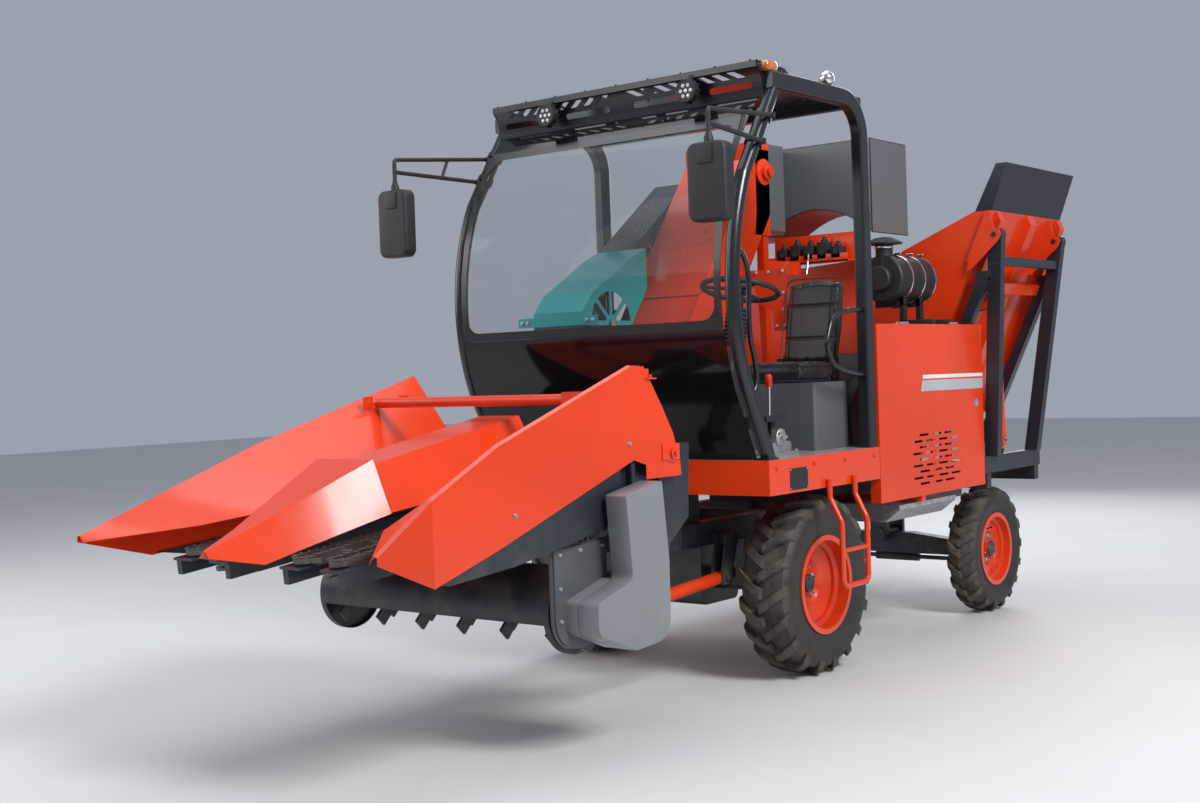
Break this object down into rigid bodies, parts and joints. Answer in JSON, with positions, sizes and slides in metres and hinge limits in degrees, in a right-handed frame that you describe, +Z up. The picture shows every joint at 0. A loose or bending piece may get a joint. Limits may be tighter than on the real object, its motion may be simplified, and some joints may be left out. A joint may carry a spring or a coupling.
{
  "type": "corn combine harvester",
  "caption": "Small self-propelled corn picker with a low header of pointed dividers, an offset elevator beside an open cab, and a tipping ear bin behind the engine.",
  "frame": {"origin": "on the ground under the middle of the machine's bounding box", "axes": "+X is the machine's left, the machine faces -Y, +Z is up"},
  "size_m": [2.1865, 5.886, 3.0895],
  "materials": {
    "orange_paint": "gloss",
    "dark_paint": "satin",
    "black_paint": "satin",
    "grey_paint": "satin",
    "turquoise_paint": "gloss",
    "rod_chrome": "polished",
    "engine_iron": "rough",
    "bare_steel": "worn",
    "galvanised": "satin",
    "cab_glass": "clear",
    "seat_cover": "grained",
    "black_plastic": "matte",
    "lamp_plastic": "gloss",
    "tyre": "dusty"
  },
  "bodies": {
    "chassis": {"chassis_frame": "dark_paint", "drive_axle": "orange_paint", "steer_axle": "dark_paint", "platform": "orange_paint", "step_ladder": "orange_paint", "cab_frame": "black_paint", "roof": "black_paint", "windshield": "cab_glass", "front_panel": "black_paint", "mirrors": "black_paint", "lamps": "lamp_plastic", "seat_box": "grey_paint", "seat": "seat_cover", "steering_column": "black_plastic", "engine": "engine_iron", "engine_panels": "orange_paint", "air_cleaner": "black_plastic", "belly_tank": "galvanised", "ear_elevator": "orange_paint", "chute_hood": "grey_paint", "fan_housing": "turquoise_paint", "fan_base": "dark_paint", "bin_frame": "dark_paint"},
    "header": {"header_frame": "orange_paint", "deck_plates": "dark_paint", "divider_left": "orange_paint", "divider_centre": "orange_paint", "divider_right": "orange_paint", "cross_tube": "orange_paint", "gathering_chains": "dark_paint", "stalk_rolls": "dark_paint", "chopper_housing": "dark_paint", "chain_guard": "grey_paint"},
    "auger": {"ear_auger": "dark_paint"},
    "chopper": {"chopper_rotor": "bare_steel"},
    "fan": {"fan_rotor": "bare_steel"},
    "bin": {"bin": "orange_paint", "bin_lip": "dark_paint"},
    "tip_barrel": {"tip_cylinder": "orange_paint"},
    "tip_rod": {"tip_cylinder_rod": "rod_chrome"},
    "lift_barrel": {"lift_cylinder": "orange_paint"},
    "lift_rod": {"lift_cylinder_rod": "rod_chrome"},
    "track_rod": {"tie_rod": "dark_paint"},
    "knuckle_left": {"knuckle_left": "dark_paint"},
    "knuckle_right": {"knuckle_right": "dark_paint"},
    "front_wheel_left": {"front_tyre_left": "tyre", "front_rim_left": "orange_paint"},
    "front_wheel_right": {"front_tyre_right": "tyre", "front_rim_right": "orange_paint"},
    "rear_wheel_left": {"rear_tyre_left": "tyre", "rear_rim_left": "orange_paint"},
    "rear_wheel_right": {"rear_tyre_right": "tyre", "rear_rim_right": "orange_paint"}
  },
  "joints": [
    {"name": "header_lift", "type": "hinge", "parent": "chassis", "child": "header", "pos_m": [0, -0.6, 0.96], "axis": [1, 0, 0], "range_deg": [0, 18]},
    {"name": "auger_turn", "type": "hinge", "parent": "header", "child": "auger", "pos_m": [0, -0.985, 0.985], "axis": [1, 0, 0], "continuous": true},
    {"name": "chopper_turn", "type": "hinge", "parent": "header", "child": "chopper", "pos_m": [0, -1.565, 0.58], "axis": [1, 0, 0], "continuous": true},
    {"name": "lift_barrel_swing", "type": "hinge", "parent": "chassis", "child": "lift_barrel", "pos_m": [0.44, -0.15, 0.52], "axis": [1, 0, 0], "range_deg": [-0.5, 8]},
    {"name": "lift_rod_slide", "type": "slide", "parent": "lift_barrel", "child": "lift_rod", "axis": [0, -0.9977, -0.0674], "range_m": [-0.157, 0.001]},
    {"name": "bin_tip", "type": "hinge", "parent": "chassis", "child": "bin", "pos_m": [1.022, 2.35, 2.262], "axis": [0, 1, 0], "range_deg": [0, 95]},
    {"name": "tip_barrel_swing", "type": "hinge", "parent": "chassis", "child": "tip_barrel", "pos_m": [0.89, 2.18, 1.04], "axis": [0, 1, 0], "range_deg": [-8, 0.5]},
    {"name": "tip_rod_slide", "type": "slide", "parent": "tip_barrel", "child": "tip_rod", "axis": [-0.0259, 0, 0.9997], "range_m": [-0.001, 0.577]},
    {"name": "fan_turn", "type": "hinge", "parent": "chassis", "child": "fan", "pos_m": [-0.545, 0.08, 1.815], "axis": [1, 0, 0], "continuous": true},
    {"name": "steer_left", "type": "hinge", "parent": "chassis", "child": "knuckle_left", "pos_m": [0.555, 2.415, 0.3825], "axis": [0, 0, 1], "range_deg": [-35, 35]},
    {"name": "steer_right", "type": "hinge", "parent": "chassis", "child": "knuckle_right", "pos_m": [-0.555, 2.415, 0.3825], "axis": [0, 0, 1], "range_deg": [-35, 35]},
    {"name": "track_rod_slide", "type": "slide", "parent": "chassis", "child": "track_rod", "axis": [1, 0, 0], "range_m": [-0.0747, 0.0747]},
    {"name": "rear_wheel_left_roll", "type": "hinge", "parent": "knuckle_left", "child": "rear_wheel_left", "pos_m": [0.665, 2.415, 0.3825], "axis": [1, 0, 0], "continuous": true},
    {"name": "rear_wheel_right_roll", "type": "hinge", "parent": "knuckle_right", "child": "rear_wheel_right", "pos_m": [-0.665, 2.415, 0.3825], "axis": [1, 0, 0], "continuous": true},
    {"name": "front_wheel_left_roll", "type": "hinge", "parent": "chassis", "child": "front_wheel_left", "pos_m": [0.675, 0.265, 0.45], "axis": [1, 0, 0], "continuous": true},
    {"name": "front_wheel_right_roll", "type": "hinge", "parent": "chassis", "child": "front_wheel_right", "pos_m": [-0.675, 0.265, 0.45], "axis": [1, 0, 0], "continuous": true}
  ],
  "couplings": [
    {"joint": "lift_barrel_swing", "follows": "header_lift", "ratio": 0.417},
    {"joint": "lift_rod_slide", "follows": "header_lift", "m_per_rad": -0.496},
    {"joint": "tip_barrel_swing", "follows": "bin_tip", "ratio": -0.08},
    {"joint": "tip_rod_slide", "follows": "bin_tip", "m_per_rad": 0.347},
    {"joint": "steer_right", "follows": "steer_left", "ratio": 1},
    {"joint": "track_rod_slide", "follows": "steer_left", "m_per_rad": -0.122}
  ]
}
